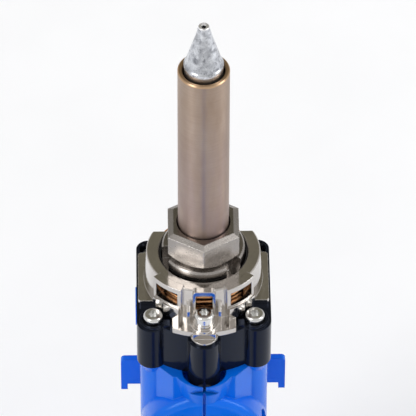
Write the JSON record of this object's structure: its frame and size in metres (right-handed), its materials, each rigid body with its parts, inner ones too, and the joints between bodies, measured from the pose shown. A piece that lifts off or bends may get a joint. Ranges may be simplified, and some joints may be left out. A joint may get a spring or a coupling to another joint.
{
  "type": "desoldering pump",
  "caption": "Pistol-style desoldering pump: heated hollow nozzle on a steel pipe, metal collar, blue split housing, side-loading filter, trigger grip and built-in vacuum pump.",
  "frame": {"origin": "on the barrel and nozzle axis, in the plane of the rear pad the tool stands on", "axes": "+Z along the barrel to the nozzle tip, grip and trigger towards -Y, +X is the right-hand housing half"},
  "size_m": [0.042, 0.1478, 0.1996],
  "materials": {
    "nozzle_plating": "bright iron plating, slightly mottled",
    "steel": "plain drawn steel",
    "ceramic": "unglazed technical ceramic",
    "tinted_steel": "turned steel, heat-tinted bronze",
    "nickel_steel": "satin nickel",
    "copper": "copper-coloured plated spring wire",
    "nickel_casting": "polished nickel on a die casting",
    "zinc_steel": "bright zinc",
    "black_plastic": "glass-filled plastic, semi-gloss",
    "lead_sleeving": "glass-fibre sleeving",
    "blue_plastic": "moulded plastic, glossy",
    "black_rubber": "matt moulded rubber",
    "aluminium": "machined",
    "red_rubber": "silicone rubber",
    "clear_glass": "clear borosilicate tube",
    "paper": "pressed paper fibre",
    "dark_plastic": "fine moulded grain",
    "clear_rubber": "translucent silicone hose",
    "brass": "turned",
    "white_plastic": "natural acetal",
    "felt": "needled felt",
    "yellow_plastic": "moulded plastic",
    "green_laminate": "lacquered laminate",
    "green_plastic": "moulded plastic",
    "lamp_lens": "tinted lens"
  },
  "bodies": {
    "gun": {"nozzle": "nozzle_plating", "heater_core": "steel", "heater_element": "ceramic", "heater_pipe": "tinted_steel", "heater_nut": "nickel_steel", "bayonet_flange": "nickel_steel", "heater_seat": "ceramic", "insulating_sleeve": "dark_plastic", "shield_spring": "copper", "front_collar": "nickel_casting", "collar_screw": "zinc_steel", "corner_screws": "zinc_steel", "front_holder": "black_plastic", "heater_leads": "lead_sleeving", "left_housing": "blue_plastic", "right_housing": "blue_plastic", "housing_screws": "zinc_steel", "heel_pad": "black_rubber", "rear_pad": "black_rubber", "seal_cup": "aluminium", "front_seal": "red_rubber", "release_spring": "steel", "vacuum_hose": "clear_rubber", "pump_motor": "nickel_steel", "motor_terminals": "brass", "motor_bracket": "zinc_steel", "diaphragm": "black_rubber", "pump_head": "dark_plastic", "valve_plate": "white_plastic", "exhaust_felt": "felt", "trigger_spring": "steel", "microswitch": "dark_plastic", "circuit_board": "green_laminate", "capacitor": "aluminium", "power_block": "dark_plastic", "heat_sink": "aluminium", "terminal_block": "green_plastic", "potentiometer": "zinc_steel", "indicator_lens": "lamp_lens", "indicator_led": "lamp_lens", "cord_gland": "black_rubber", "gland_nut": "brass"},
    "trigger_body": {"trigger": "yellow_plastic"},
    "release_body": {"release_slider": "dark_plastic", "rear_seal": "red_rubber"},
    "filter_body": {"filter_pipe": "clear_glass", "solder_trap": "steel", "trap_disc": "aluminium", "paper_filter": "paper"},
    "dial_body": {"temperature_dial": "dark_plastic"},
    "rotor_body": {"motor_shaft": "steel", "eccentric": "aluminium"},
    "rod_body": {"pump_rod": "white_plastic"}
  },
  "joints": [
    {"name": "trigger_pull", "type": "slide", "parent": "gun", "child": "trigger_body", "axis": [0, 0, -1], "range_m": [0, 0.0045], "stiffness_N_per_m": 600, "springref_m": -0.003, "deforming": ["trigger_spring"]},
    {"name": "filter_release", "type": "slide", "parent": "gun", "child": "release_body", "axis": [0, 0, -1], "range_m": [0, 0.006], "stiffness_N_per_m": 500, "springref_m": -0.004, "deforming": ["release_spring", "vacuum_hose"]},
    {"name": "filter_lift", "type": "slide", "parent": "gun", "child": "filter_body", "axis": [0, 1, 0], "range_m": [0, 0.028]},
    {"name": "temperature_turn", "type": "hinge", "parent": "gun", "child": "dial_body", "pos_m": [0, 0.0193, 0.017], "axis": [0, 1, 0], "range_deg": [-135, 135]},
    {"name": "pump_spin", "type": "hinge", "parent": "gun", "child": "rotor_body", "pos_m": [0, 0, 0.03], "axis": [0, 0, 1], "continuous": true},
    {"name": "rod_stroke", "type": "slide", "parent": "gun", "child": "rod_body", "axis": [0, 1, 0], "range_m": [-0.0012, 0.0012]}
  ]
}
